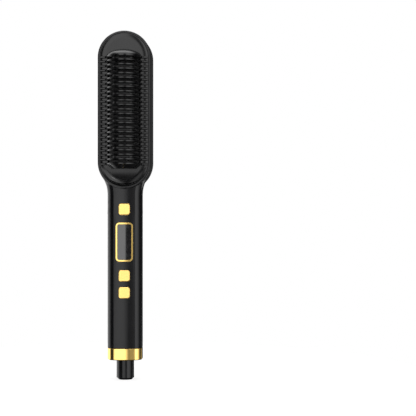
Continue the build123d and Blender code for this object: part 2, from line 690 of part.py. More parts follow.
def clamp_screw_places():
    """The clamp's screws stand beside the element, near the ends of its clamped length."""
    x = CLAMP_WIDTH / 2 - CLAMP_SCREW_INSET
    heights = (CLAMP_LOW + CLAMP_SCREW_FROM_END, ELEMENT_HIGH - CLAMP_SCREW_FROM_END)
    return [(sx * x, z) for sx in (-1, 1) for z in heights]


def heater_element():
    outline = Pos(0, (ELEMENT_LOW + ELEMENT_HIGH) / 2) * Rectangle(ELEMENT_WIDTH, ELEMENT_LENGTH)
    return slab(outline, PLATE_BACK_Y, ELEMENT_BACK_Y)


def over_element(width, y_front, y_back):
    """A strip behind the heater element that leaves its solder pads free."""
    outline = Pos(0, (CLAMP_LOW + ELEMENT_HIGH) / 2) * Rectangle(width, ELEMENT_HIGH - CLAMP_LOW)
    return slab(outline, y_front, y_back)


def heater_clamp():
    clamp = over_element(CLAMP_WIDTH, MICA_BACK_Y, CLAMP_BACK_Y)
    for x, z in clamp_screw_places():
        clamp -= rod(SCREW_RADIUS + PILOT_GAP, x, z, MICA_BACK_Y - 1, CLAMP_BACK_Y + 1)
    return clamp


def screw(x, z, head_y, grip, head_radius):
    """Pan head screw along Y, its shank pointing to the front."""
    shank = rod(SCREW_RADIUS, x, z, head_y - grip, head_y)
    head = rod(head_radius, x, z, head_y, head_y + SCREW_HEAD_HEIGHT)
    rim = head.edges().filter_by(lambda e: abs(e.center().Y - head_y - SCREW_HEAD_HEIGHT) < 0.01)
    head = fillet(rim, SCREW_HEAD_HEIGHT / 3)
    slots = Rectangle(2 * head_radius, SCREW_SLOT) + Rectangle(SCREW_SLOT, 2 * head_radius)
    cross = slab(Pos(x, z) * slots, head_y + SCREW_HEAD_HEIGHT / 2, head_y + 2)
    return shank + (head - (cross & rod(head_radius * 0.6, x, z, head_y, head_y + 2)))


def button(z):
    """Square key with a lip behind the shell's wall."""
    front_y = -HANDLE_FRONT - BUTTON_PROUD
    cap = slab(rounded_box(BUTTON_SIZE, BUTTON_SIZE, BUTTON_CORNER, 0, z), front_y, BUTTON_LIP_Y)
    top = cap.edges().filter_by(lambda e: abs(e.center().Y - front_y) < 0.01)
    cap = fillet(top, BUTTON_EDGE_ROUND)
    size = BUTTON_SIZE + 2 * BUTTON_LIP
    return cap + slab(rounded_box(size, size, BUTTON_CORNER, 0, z), BUTTON_LIP_Y, PLUNGER_TOP_Y)


def switch_body(z):
    body = slab(rounded_box(SWITCH_SIZE, SWITCH_SIZE, 0.4, 0, z), SWITCH_FRONT_Y, BOARD_FRONT_Y)
    well = PLUNGER_IN + BUTTON_TRAVEL + WELL_SPARE
    return body - rod(PLUNGER_RADIUS + PLUNGER_GAP, 0, z, SWITCH_FRONT_Y, SWITCH_FRONT_Y + well)


def switch_plunger(z):
    return rod(PLUNGER_RADIUS, 0, z, PLUNGER_TOP_Y, SWITCH_FRONT_Y + PLUNGER_IN)


def display_frame():
    """Gold frame that follows the handle's crown, with a lip behind the wall and a shelf for the glass."""
    lip_y = crown_y(FRAME_WIDTH / 2 + FRAME_LIP, WALL) + FIT_GAP / 2
    back_y = lip_y + FRAME_LIP_THICKNESS
    frame = slab(rounded_box(FRAME_WIDTH, FRAME_HEIGHT, FRAME_CORNER, 0, DISPLAY_Z), -HANDLE_FRONT - 2, lip_y)
    frame = frame & handle_prism(DISPLAY_Z - FRAME_HEIGHT, DISPLAY_Z + FRAME_HEIGHT, -FRAME_PROUD)
    lip = rounded_box(FRAME_WIDTH + 2 * FRAME_LIP, FRAME_HEIGHT + 2 * FRAME_LIP, FRAME_CORNER, 0, DISPLAY_Z)
    frame += slab(lip, lip_y, back_y)
    frame -= slab(glass_outline(0), -HANDLE_FRONT - 2, glass_back_y())
    return frame - slab(glass_outline(FRAME_SHELF), glass_back_y() - 1, back_y + 1)


def glass_outline(inset):
    width = FRAME_WIDTH - 2 * FRAME_BAND - 2 * inset
    height = FRAME_HEIGHT - 2 * FRAME_BAND - 2 * inset
    return rounded_box(width, height, FRAME_CORNER - FRAME_BAND - inset / 2, 0, DISPLAY_Z)


def glass_back_y():
    return -HANDLE_FRONT + GLASS_SUNK + GLASS_THICKNESS


def display_window():
    return slab(glass_outline(GUARD_GAP / 2), glass_back_y() - GLASS_THICKNESS, glass_back_y())


def display_module():
    return slab(glass_outline(FRAME_SHELF + FIT_GAP), glass_back_y(), BOARD_FRONT_Y)


def control_board():
    middle = (BOARD_TOP + BOARD_BOTTOM) / 2
    outline = rounded_box(BOARD_WIDTH, BOARD_TOP - BOARD_BOTTOM, 1.0, 0, middle)
    board = slab(outline, BOARD_FRONT_Y, BOARD_BACK_Y)
    for x, z in board_screw_places():
        board -= rod(SCREW_RADIUS + PILOT_GAP, x, z, BOARD_FRONT_Y - 1, BOARD_BACK_Y + 1)
    return board


def on_board(width, height, depth, x, z, corner=0.3):
    """A component body on the back of the board."""
    return slab(rounded_box(width, height, corner, x, z), BOARD_BACK_Y, BOARD_BACK_Y + depth)


def lying_can(radius, length, x, z):
    """A round component that lies along the board."""
    can = Pos(x, BOARD_BACK_Y + radius + LEAD_LIFT, z) * Cylinder(radius, length)
    return fillet(can.edges().filter_by(GeomType.CIRCLE), radius / 6)


def triac(z):
    """A body with a metal tab above it, and the tab's hole."""
    body = on_board(TRIAC_WIDTH, TRIAC_BODY_HEIGHT, TRIAC_BODY_DEPTH, 0, z)
    tab_z = z + (TRIAC_BODY_HEIGHT + TRIAC_TAB_HEIGHT) / 2
    tab = on_board(TRIAC_WIDTH, TRIAC_TAB_HEIGHT + FIT_GAP, TRIAC_TAB_DEPTH, 0, tab_z)
    return body + tab - rod(TRIAC_HOLE_RADIUS, 0, tab_z, BOARD_BACK_Y - 1, BOARD_BACK_Y + TRIAC_BODY_DEPTH)


def end_ring():
    """Gold ring round the foot of the handle, in the handle's own section."""
    low = CAP_BOTTOM + RING_LOW_BEVEL
    high = RING_TOP - RING_HIGH_BEVEL
    ring = handle_prism(low, high, 0)
    ring += handle_bevel(CAP_BOTTOM, RING_LOW_BEVEL, low, 0)
    ring += handle_bevel(high, 0, RING_TOP, RING_HIGH_BEVEL)
    return ring - handle_prism(CAP_BOTTOM - 1, RING_TOP + 1, RING_WALL)


def upright(radius, z_low, z_high):
    """A round bar on the handle's long axis."""
    return Pos(0, 0, (z_low + z_high) / 2) * Cylinder(radius, z_high - z_low)


def end_cap():
    """Closes the handle: a floor in the gold ring, a bearing for the spindle and a collar in the shells."""
    cap = handle_prism(CAP_BOTTOM, HANDLE_BOTTOM, RING_WALL + FIT_GAP / 2)
    cap += handle_prism(HANDLE_BOTTOM - SHADOW_GAP, HANDLE_BOTTOM + CAP_COLLAR_HEIGHT, WALL + FIT_GAP)
    inside = WALL + FIT_GAP + CAP_WALL
    cap -= handle_prism(CAP_BOTTOM + CAP_FLOOR, HANDLE_BOTTOM + CAP_COLLAR_HEIGHT + 1, inside)
    hole = SPINDLE_RADIUS + RUNNING_CLEARANCE
    top = CAP_BOTTOM + BEARING_LENGTH
    cap += upright(hole + BEARING_WALL, CAP_BOTTOM, top)
    return cap - upright(hole, CAP_BOTTOM - 1, top + 1)


CLIP_BOTTOM = CAP_BOTTOM + BEARING_LENGTH + RUNNING_CLEARANCE
CLIP_TOP = CLIP_BOTTOM + CLIP_THICKNESS
RING_LIVE_Z = CLIP_TOP + SLIP_RING_FROM_CLIP
RING_NEUTRAL_Z = RING_LIVE_Z + SLIP_RING_PITCH
SLIP_RADIUS = SPINDLE_NECK_RADIUS + SLIP_RING_WALL
BRUSH_Y = SLIP_RADIUS + BRUSH_GAP
BLOCK_FRONT_Y = BRUSH_Y + BRUSH_THICKNESS + BLOCK_GAP
BLOCK_LOW = CLIP_TOP + BLOCK_FROM_CLIP


def swivel_gland():
    """The black stub that the cord enters, with its spindle up into the end cap."""
    body = upright(GLAND_RADIUS, 0, GLAND_LENGTH)
    lower = body.edges().filter_by(lambda e: e.center().Z < 0.01)
    body = chamfer(lower, GLAND_CHAMFER)
    body += upright(SPINDLE_RADIUS, GLAND_LENGTH - 1, CLIP_TOP + 1)
    body += upright(SPINDLE_NECK_RADIUS, CLIP_TOP, SPINDLE_TOP)
    groove = upright(SPINDLE_RADIUS + 1, CLIP_BOTTOM, CLIP_TOP)
    body -= groove - upright(SPINDLE_RADIUS - CLIP_GROOVE, CLIP_BOTTOM - 1, CLIP_TOP + 1)
    body -= upright(CORD_BORE_RADIUS, -1, CORD_BORE_DEPTH)
    for side, z in ((-1, RING_LIVE_Z), (1, RING_NEUTRAL_Z)):
        offset = Pos(0, side * (CORD_BORE_RADIUS - MAINS_LEAD_RADIUS - 2 * FIT_GAP), 0)
        body -= offset * upright(MAINS_LEAD_RADIUS, CORD_BORE_DEPTH - 1, z)
    return body


def swivel_clip():
    """Open ring in the spindle's groove that keeps the gland in its bearing."""
    inner = SPINDLE_RADIUS - CLIP_GROOVE + PILOT_GAP
    clip = upright(inner + CLIP_WIDTH, CLIP_BOTTOM + PILOT_GAP, CLIP_TOP - PILOT_GAP)
    clip -= upright(inner, CLIP_BOTTOM - 1, CLIP_TOP + 1)
    mouth = Box(inner * 1.2, 2 * CLIP_WIDTH, 4 * CLIP_THICKNESS)
    return clip - Pos(0, -inner - CLIP_WIDTH / 2, CLIP_BOTTOM) * mouth


def slip_ring(z):
    low, high = z - SLIP_RING_HEIGHT / 2, z + SLIP_RING_HEIGHT / 2
    return upright(SLIP_RADIUS, low, high) - upright(SPINDLE_NECK_RADIUS + PILOT_GAP, low - 1, high + 1)


def block_back_y():
    return HANDLE_BACK - WALL - FIT_GAP - CAP_WALL


def block_top():
    return RING_NEUTRAL_Z + SLIP_RING_HEIGHT


def contact_block():
    """Plastic block on the end cap's collar that holds the two contact springs."""
    height = block_top() - BLOCK_LOW
    depth = block_back_y() - BLOCK_FRONT_Y
    width = 2 * (BRUSH_HALF_WIDTH + BRUSH_TAB)
    middle_y = (BLOCK_FRONT_Y + block_back_y()) / 2
    block = Pos(0, middle_y, (block_top() + BLOCK_LOW) / 2) * Box(width, depth, height)
    block = block & handle_prism(BLOCK_LOW - 1, block_top() + 1, WALL + FIT_GAP + CAP_WALL + FIT_GAP / 2)
    for sx, z in ((1, RING_LIVE_Z), (-1, RING_NEUTRAL_Z)):
        slot = Box(BRUSH_THICKNESS + FIT_GAP, 2 * (BRUSH_TAB + FIT_GAP), SLIP_RING_HEIGHT + FIT_GAP)
        block -= Pos(sx * (BRUSH_HALF_WIDTH - BRUSH_THICKNESS / 2), BLOCK_FRONT_Y, z) * slot
    return block


def contact_spring(side, z):
    """Brass leaf that lies against a slip ring, with a tab back into the block."""
    leaf = Box(2 * BRUSH_HALF_WIDTH, BRUSH_THICKNESS, SLIP_RING_HEIGHT)
    leaf = Pos(0, BRUSH_Y + BRUSH_THICKNESS / 2, z) * leaf
    reach = BLOCK_FRONT_Y + BRUSH_TAB - BRUSH_Y
    tab_x = side * (BRUSH_HALF_WIDTH - BRUSH_THICKNESS / 2)
    return leaf + Pos(tab_x, BRUSH_Y + reach / 2, z) * Box(BRUSH_THICKNESS, reach, SLIP_RING_HEIGHT)


def lead(points, radius):
    """A wire along straight runs joined by arcs as large as the runs allow."""
    runs = [(Vector(b) - Vector(a)) for a, b in zip(points, points[1:])]
    bends = []
    for near, far in zip(runs, runs[1:]):
        turn = math.radians(near.get_angle(far))
        bends.append(BEND_SHARE * min(near.length, far.length) / math.tan(turn / 2))
    path = FilletPolyline(*points, radius=bends)
    start = Plane(origin=path @ 0, z_dir=path % 0)
    return sweep(start * Circle(radius), path=path)


def mains_lead(side):
    """From the contact block's top up to the foot of the board."""
    x = side * MAINS_HALF_SPACING
    start_y = (BLOCK_FRONT_Y + block_back_y()) / 2
    board_y = BOARD_BACK_Y + MAINS_LEAD_RADIUS + LEAD_LIFT
    top = BOARD_BOTTOM + LEAD_LAP
    rise = top - block_top()
    points = [
        (x, start_y, block_top()),
        (x, start_y, block_top() + rise * MAINS_LEAVES),
        (x, board_y, block_top() + rise * MAINS_ARRIVES),
        (x, board_y, top),
    ]
    return lead(points, MAINS_LEAD_RADIUS)


def heater_lead(x_board, x_heater, z_heater):
    """From the back of the board up through the neck into the head."""
    board_y = BOARD_BACK_Y + HEATER_LEAD_RADIUS + LEAD_LIFT
    start = BOARD_TOP - LEAD_LAP
    rise = z_heater - start
    points = [
        (x_board, board_y, start),
        (x_board, board_y, start + rise * HEATER_LEAVES),
        (x_heater, PAD_Y, start + rise * HEATER_ARRIVES),
        (x_heater, PAD_Y, z_heater),
    ]
    return lead(points, HEATER_LEAD_RADIUS)


def thermal_fuse():
    can = Pos(-LEAD_HALF_SPACING, PAD_Y, FUSE_LOW + FUSE_LENGTH / 2) * Cylinder(FUSE_RADIUS, FUSE_LENGTH)
    return fillet(can.edges().filter_by(GeomType.CIRCLE), FUSE_RADIUS / 4)


def fuse_link():
    """Short straight wire from the thermal fuse to the element's pad."""
    low = FUSE_LOW + FUSE_LENGTH
    return Pos(-LEAD_HALF_SPACING, PAD_Y, (low + PAD_Z) / 2) * Cylinder(HEATER_LEAD_RADIUS, PAD_Z - low)


def thermistor_x():
    return (CLAMP_WIDTH / 2 + PLATE_HALF_WIDTH) / 2


def thermistor_y():
    return PLATE_BACK_Y + THERMISTOR_RADIUS + LEAD_LIFT


def thermistor():
    bead = Pos(thermistor_x(), thermistor_y(), HEAD_MIDDLE) * Cylinder(THERMISTOR_RADIUS, THERMISTOR_LENGTH)
    return fillet(bead.edges().filter_by(GeomType.CIRCLE), THERMISTOR_RADIUS / 2)


def thermistor_leads():
    """The sensor's pair of thin wires, lifted over the heater's screws on the way to the board."""
    board_y = BOARD_BACK_Y + SENSOR_LEAD_RADIUS + LEAD_LIFT
    start = HEAD_MIDDLE - THERMISTOR_LENGTH / 2
    end = BOARD_TOP - LEAD_LAP
    wires = []
    for side in (-1, 1):
        head_x = thermistor_x() + side * SENSOR_HALF_SPACING
        board_x = BOSS_HALF_SPACING + side * SENSOR_HALF_SPACING
        points = [
            (head_x, thermistor_y(), start),
            (head_x, thermistor_y(), CLAMP_LOW + 2 * CLAMP_SCREW_FROM_END),
            (head_x, SEAM_Y_HANDLE - 1, ELEMENT_LOW - FUSE_TO_ELEMENT),
            (board_x, board_y, BOARD_TOP + BOARD_MARGIN),
            (board_x, board_y, end),
        ]
        wires.append(lead(points, SENSOR_LEAD_RADIUS))
    return Compound(children=wires)


def screws(places, head_y, grip, head_radius):
    """A set of equal screws, one at each place."""
    return Compound(children=[screw(x, z, head_y, grip, head_radius) for x, z in places])


def shell_screws():
    grip = SHELL_SCREW_SEAT_Y - SEAM_Y_HEAD + SHELL_SCREW_GRIP
    return screws(post_places(), SHELL_SCREW_SEAT_Y, grip, SHELL_SCREW_HEAD_RADIUS)


def heater_screws():
    grip = PLATE_THICKNESS + PLATE_DROP + GUARD_BITE
    return screws(heater_screw_places(), PLATE_BACK_Y, grip, SCREW_HEAD_RADIUS)


def clamp_screws():
    grip = CLAMP_BACK_Y - PLATE_BACK_Y + CLAMP_SCREW_BITE - FIT_GAP
    return screws(clamp_screw_places(), CLAMP_BACK_Y, grip, CLAMP_SCREW_INSET - FIT_GAP)


def board_screws():
    grip = BOARD_THICKNESS + SCREW_GRIP - FIT_GAP
    return screws(board_screw_places(), BOARD_BACK_Y, grip, SCREW_HEAD_RADIUS)


def main():
    body = hollow_body()
    front = front_half_space()
    nodes = {"front_shell": front_shell(body, front), "rear_shell": rear_shell(body, front)}
    nodes["back_trim_ring"] = back_trim_ring()
    nodes["back_panel"] = back_panel()
    nodes["comb_guard"] = comb_guard()
    nodes["heater_plate"] = heater_plate()
    nodes["display_frame"] = display_frame()
    nodes["display_window"] = display_window()
    nodes["display_module"] = display_module()
    nodes["control_board"] = control_board()
    nodes["heater_element"] = heater_element()
    nodes["heater_insulation"] = over_element(MICA_WIDTH, ELEMENT_BACK_Y, MICA_BACK_Y)
    nodes["heater_clamp"] = heater_clamp()
    nodes["thermal_fuse"] = thermal_fuse()
    nodes["fuse_link"] = fuse_link()
    nodes["thermistor"] = thermistor()
    nodes["thermistor_leads"] = thermistor_leads()
    nodes["heater_lead_live"] = heater_lead(-LEAD_HALF_SPACING - 1, -LEAD_HALF_SPACING, FUSE_LOW)
    nodes["heater_lead_neutral"] = heater_lead(0, LEAD_HALF_SPACING / 2, PAD_Z)
    for name, z in (("power", POWER_Z), ("temperature_up", UP_Z), ("temperature_down", DOWN_Z)):
        nodes[name + "_button"] = button(z)
        nodes[name + "_switch"] = switch_body(z)
        nodes[name + "_plunger"] = switch_plunger(z)
    nodes["controller_chip"] = on_board(CHIP_SIZE, CHIP_SIZE, CHIP_HEIGHT, 0, DISPLAY_Z)
    can_z = POWER_Z - ELECTROLYTIC_BELOW_POWER
    nodes["electrolytic_capacitor"] = lying_can(ELECTROLYTIC_RADIUS, ELECTROLYTIC_LENGTH, 0, can_z)
    nodes["triac"] = triac(DISPLAY_Z - TRIAC_BELOW_DISPLAY)
    nodes["film_capacitor"] = on_board(FILM_WIDTH, FILM_HEIGHT, FILM_DEPTH, 0, UP_Z - FILM_BELOW_UP)
    foot_z = DOWN_Z + FOOT_PARTS_ABOVE_DOWN
    disc_back = BOARD_BACK_Y + VARISTOR_DEPTH
    nodes["varistor"] = rod(VARISTOR_RADIUS, -FOOT_PARTS_X, foot_z, BOARD_BACK_Y, disc_back)
    nodes["input_fuse"] = lying_can(INPUT_FUSE_RADIUS, INPUT_FUSE_LENGTH, FOOT_PARTS_X, foot_z)
    nodes["end_ring"] = end_ring()
    nodes["end_cap"] = end_cap()
    nodes["swivel_gland"] = swivel_gland()
    nodes["swivel_clip"] = swivel_clip()
    nodes["contact_block"] = contact_block()
    for name, side, z in (("live", 1, RING_LIVE_Z), ("neutral", -1, RING_NEUTRAL_Z)):
        nodes["slip_ring_" + name] = slip_ring(z)
        nodes["contact_spring_" + name] = contact_spring(side, z)
        nodes["mains_lead_" + name] = mains_lead(side)
    nodes["shell_screws"] = shell_screws()
    nodes["heater_screws"] = heater_screws()
    nodes["clamp_screws"] = clamp_screws()
    nodes["board_screws"] = board_screws()
    for name, shape in nodes.items():
        shape.label = name
        export_step(shape, f"parts/{name}.step")


main()
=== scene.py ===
"""Looks, light and camera for the heated straightening comb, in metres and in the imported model's frame."""

import json
import math

import bpy
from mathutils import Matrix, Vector

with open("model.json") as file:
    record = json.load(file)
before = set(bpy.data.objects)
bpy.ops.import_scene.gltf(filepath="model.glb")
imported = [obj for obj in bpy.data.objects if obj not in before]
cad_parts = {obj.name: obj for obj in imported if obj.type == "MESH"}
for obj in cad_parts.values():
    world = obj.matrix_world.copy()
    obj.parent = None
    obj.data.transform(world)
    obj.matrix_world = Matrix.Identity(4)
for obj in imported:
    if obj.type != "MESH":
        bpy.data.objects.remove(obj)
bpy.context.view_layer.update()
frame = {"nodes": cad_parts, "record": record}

MM = 0.001

# Parting line of the shells, in millimetres. It lies at one depth down the handle and at another
# around the head, and crosses over along the neck. The first four repeat the part's own sizes.
SEAM_Y_HANDLE = 2.5
SEAM_Y_HEAD = 9.5
SEAM_Z_LOW = 133.7
SEAM_Z_HIGH = 167.7
SEAM_BOTTOM = 0.05
SEAM_EDGE = 0.28
SEAM_DEPTH = 0.18
SEAM_DULLNESS = 0.4

# Patterns on the surfaces. Sizes and depths are in millimetres, and dullness is added roughness.
HAZE_SIZE = 14.0
DUST_SIZE = 0.9
DUST_DULLNESS = 0.06
POLISH_PATCH_SIZE = 9.0
SMUDGE_SIZE = 5.0
GLASS_DUST_SIZE = 0.5
PAD_PITCH = 3.2
WEAVE_DEPTH = 0.01
EXTRUSION_LINE_SIZE = 0.2
EXTRUSION_LINE_DEPTH = 0.01

# Scale of the wave texture that puts about 0.4 mm from thread to thread
WEAVE_SCALE = 0.8

# Noise runs from 0 to 1, and most of it lies in this span
NOISE_SPAN = (0.3, 0.7)

# Viewpoint of the photograph. The two clip distances are in metres.
LENS_MM = 103.8
SENSOR_MM = 36.0
EYE_MM = (67.3, -976.0, 139.0)
NEAR_CLIP = 0.05
FAR_CLIP = 10.0

# Floor, in metres and in linear levels
FLOOR_RADIUS = 0.26
FLOOR_SIDES = 96
FLOOR_GREY = 0.3
FLOOR_LIFT = 0.75

# Levels of the studio outside its panels, and the heights, in degrees, where its overhead light
# begins and where it is full
DARK_LEVEL = 0.05
OVERHEAD_LEVEL = 2.6
OVERHEAD_FROM = 35.0
OVERHEAD_FULL = 65.0
PLAIN_LEVEL = 0.9
WHITE_LEVEL = 1.0

SOFT = {"interpolation_type": "SMOOTHSTEP"}


def linear(hex_colour):
    """An sRGB hex colour as linear RGBA."""
    values = [int(hex_colour[i : i + 2], 16) / 255 for i in (1, 3, 5)]
    return [v / 12.92 if v <= 0.04045 else ((v + 0.055) / 1.055) ** 2.4 for v in values] + [1.0]


def add(tree, kind, inputs=(), **settings):
    """Adds a node. Each input, by place or name, is a value, a socket, or a node's first live output."""
    node = tree.nodes.new("ShaderNode" + kind)
    for name, value in settings.items():
        setattr(node, name, value)
    pairs = inputs.items() if isinstance(inputs, dict) else enumerate(inputs)
    for place, value in pairs:
        if isinstance(value, bpy.types.Node):
            value = next(socket for socket in value.outputs if socket.enabled)
        if isinstance(value, bpy.types.NodeSocket):
            tree.links.new(value, node.inputs[place])
        else:
            node.inputs[place].default_value = value
    return node


def start(name):
    """A new material and its empty node tree."""
    material = bpy.data.materials.new(name)
    material.use_nodes = True
    material.node_tree.nodes.clear()
    return material, material.node_tree


def surface(tree, inputs):
    """Sends the shader, with these inputs, to the material's output."""
    shader = add(tree, "BsdfPrincipled", inputs)
    add(tree, "OutputMaterial", (shader,))


def millimetres(tree, stretch=(1.0, 1.0, 1.0)):
    """Object coordinates in millimetres, stretched per axis for a grain with a direction."""
    place = add(tree, "TexCoord").outputs["Object"]
    return add(tree, "VectorMath", (place, [s / MM for s in stretch]), operation="MULTIPLY")


def parting_line(tree, at, colour, roughness, normal):
    """The fine groove between the shells, laid over a finish, with painted shade: the colour in the groove
    is darkened almost to black.
    """
    axes = add(tree, "SeparateXYZ", (at,))
    heights = (axes.outputs["Z"], SEAM_Z_LOW, SEAM_Z_HIGH, SEAM_Y_HANDLE, SEAM_Y_HEAD)
    line_y = add(tree, "MapRange", heights)
    offset = add(tree, "Math", (axes.outputs["Y"], line_y), operation="SUBTRACT")
    away = add(tree, "Math", (offset,), operation="ABSOLUTE")
    beside = add(tree, "MapRange", (away, SEAM_BOTTOM, SEAM_EDGE), **SOFT)
    inside = add(tree, "Math", (1.0, beside), operation="SUBTRACT")
    dull = add(tree, "Math", (inside, SEAM_DULLNESS), operation="MULTIPLY")
    groove = {"Height": beside, "Distance": SEAM_DEPTH * MM, "Normal": normal}
    # painted shade: the colour is darkened towards black in the groove, where shade falls
    painted_groove_shade = {"Factor": beside, "A": linear("#020202"), "B": colour}
    return (
        add(tree, "Mix", painted_groove_shade, data_type="RGBA"),
        add(tree, "Math", (roughness, dull), operation="ADD"),
        add(tree, "Bump", groove),
    )


def moulded_gloss(name, dark, light, rough, smear, peel_size, peel_depth, ior=1.4, seam=False):
    """Polished moulding: haze from handling, specks of dust, and a faint orange peel."""
    material, tree = start(name)
    at = millimetres(tree)
    haze = add(tree, "TexNoise", {"Vector": at, "Scale": 1 / HAZE_SIZE, "Detail": 3.0})
    specks = add(tree, "TexNoise", {"Vector": at, "Scale": 1 / DUST_SIZE, "Detail": 1.0})
    ripple = add(tree, "TexNoise", {"Vector": at, "Scale": 1 / peel_size, "Detail": 1.0})
    dust = add(tree, "MapRange", (specks, 0.72, 0.8), **SOFT)
    cloud = add(tree, "MapRange", (haze, 0.35, 0.7), **SOFT)
    paler = add(tree, "Math", (cloud, dust), operation="MAXIMUM")
    colour = add(tree, "Mix", {"Factor": paler, "A": linear(dark), "B": linear(light)}, data_type="RGBA")
    hazed = add(tree, "MapRange", (haze, *NOISE_SPAN, rough, rough + smear))
    dusted = add(tree, "Math", (dust, DUST_DULLNESS), operation="MULTIPLY")
    roughness = add(tree, "Math", (hazed, dusted), operation="ADD")
    normal = add(tree, "Bump", {"Height": ripple, "Distance": peel_depth * MM})
    if seam:
        colour, roughness, normal = parting_line(tree, at, colour, roughness, normal)
    surface(tree, {"Base Color": colour, "Roughness": roughness, "Normal": normal, "IOR": ior})
    return material


def brushed_gold(name, base, deep, rough, grain, stretch, depth=0.0008):
    """Gold finish brushed along one axis: painted shade darkens the colour in the grooves of the brushing,
    and slow patches vary the polish.
    """
    material, tree = start(name)
    along = millimetres(tree, stretch)
    brushing = {"Vector": along, "Scale": 1 / grain, "Detail": 3.0, "Roughness": 0.65}
    lines = add(tree, "TexNoise", brushing)
    patch = add(tree, "TexNoise", {"Vector": millimetres(tree), "Scale": 1 / POLISH_PATCH_SIZE})
    # painted shade: the deeper colour falls where the brushing's bump is low, in its grooves
    groove_shade_mask = add(tree, "MapRange", (lines, *NOISE_SPAN), **SOFT)
    colour = add(tree, "Mix", {"Factor": groove_shade_mask, "A": linear(deep), "B": linear(base)}, data_type="RGBA")
    level = add(tree, "MapRange", (lines, *NOISE_SPAN, rough + 0.05, rough - 0.04))
    drift = add(tree, "MapRange", (patch, *NOISE_SPAN, -0.02, 0.02))
    roughness = add(tree, "Math", (level, drift), operation="ADD")
    normal = add(tree, "Bump", {"Height": lines, "Distance": depth * MM})
    surface(tree, {"Base Color": colour, "Metallic": 1.0, "Roughness": roughness, "Normal": normal})
    return material


def grained(name, dark, light, rough, grain, depth, metallic=0.0, mottle=6.0):
    """Matt or satin surface with a fine grain and slow colour variation."""
    material, tree = start(name)
    at = millimetres(tree)
    fine = add(tree, "TexNoise", {"Vector": at, "Scale": 1 / grain, "Detail": 3.0})
    slow = add(tree, "TexNoise", {"Vector": at, "Scale": 1 / mottle})
    half_fine = add(tree, "Math", (fine, 0.5), operation="MULTIPLY")
    half_slow = add(tree, "Math", (slow, 0.5), operation="MULTIPLY")
    both = add(tree, "Math", (half_fine, half_slow), operation="ADD")
    tone = add(tree, "MapRange", (both, 0.35, 0.65), **SOFT)
    colour = add(tree, "Mix", {"Factor": tone, "A": linear(dark), "B": linear(light)}, data_type="RGBA")
    roughness = add(tree, "MapRange", (fine, *NOISE_SPAN, rough - 0.05, rough + 0.07))
    normal = add(tree, "Bump", {"Height": fine, "Distance": depth * MM})
    surface(tree, {"Base Color": colour, "Metallic": metallic, "Roughness": roughness, "Normal": normal})
    return material


def tinted_glass(name, dark, light):
    """Coated glass, almost black: a mirror-like front with faint smudges and dust."""
    material, tree = start(name)
    at = millimetres(tree)
    smudge = add(tree, "TexNoise", {"Vector": at, "Scale": 1 / SMUDGE_SIZE, "Detail": 3.0})
    specks = add(tree, "TexNoise", {"Vector": at, "Scale": 1 / GLASS_DUST_SIZE, "Detail": 1.0})
    dust = add(tree, "MapRange", (specks, 0.74, 0.8), **SOFT)
    colour = add(tree, "Mix", {"Factor": dust, "A": linear(dark), "B": linear(light)}, data_type="RGBA")
    roughness = add(tree, "MapRange", (smudge, 0.35, 0.7, 0.01, 0.03))
    front = {"Base Color": colour, "Roughness": roughness, "IOR": 1.6}
    surface(tree, {**front, "Coat Weight": 1.0, "Coat Roughness": 0.01})
    return material


def circuit_laminate(name, dark, light, tin):
    """Solder mask over woven glass fibre, with bare tinned pads."""
    material, tree = start(name)
    at = millimetres(tree)
    cells = add(tree, "TexVoronoi", {"Vector": at, "Scale": 1 / PAD_PITCH, "Randomness": 0.35})
    pad = add(tree, "MapRange", (cells, 0.16, 0.2, 1.0, 0.0), **SOFT)
    wave = add(tree, "TexWave", {"Vector": at, "Scale": WEAVE_SCALE, "Distortion": 0.4})
    weave = wave.outputs["Fac"]
    mask = add(tree, "Mix", {"Factor": weave, "A": linear(dark), "B": linear(light)}, data_type="RGBA")
    colour = add(tree, "Mix", {"Factor": pad, "A": mask, "B": linear(tin)}, data_type="RGBA")
    roughness = add(tree, "MapRange", (pad, 0.0, 1.0, 0.38, 0.28), **SOFT)
    normal = add(tree, "Bump", {"Height": weave, "Distance": WEAVE_DEPTH * MM})
    surface(tree, {"Base Color": colour, "Metallic": pad, "Roughness": roughness, "Normal": normal})
    return material


def silicone_lead(name, dark, light):
    """Silicone insulation: satin, with fine extrusion lines along the wire."""
    material, tree = start(name)
    along = millimetres(tree, (1.0, 1.0, 0.05))
    lines = add(tree, "TexNoise", {"Vector": along, "Scale": 1 / EXTRUSION_LINE_SIZE})
    colour = add(tree, "Mix", {"Factor": lines, "A": linear(dark), "B": linear(light)}, data_type="RGBA")
    roughness = add(tree, "MapRange", (lines, *NOISE_SPAN, 0.4, 0.52))
    normal = add(tree, "Bump", {"Height": lines, "Distance": EXTRUSION_LINE_DEPTH * MM})
    surface(tree, {"Base Color": colour, "Roughness": roughness, "Normal": normal})
    return material


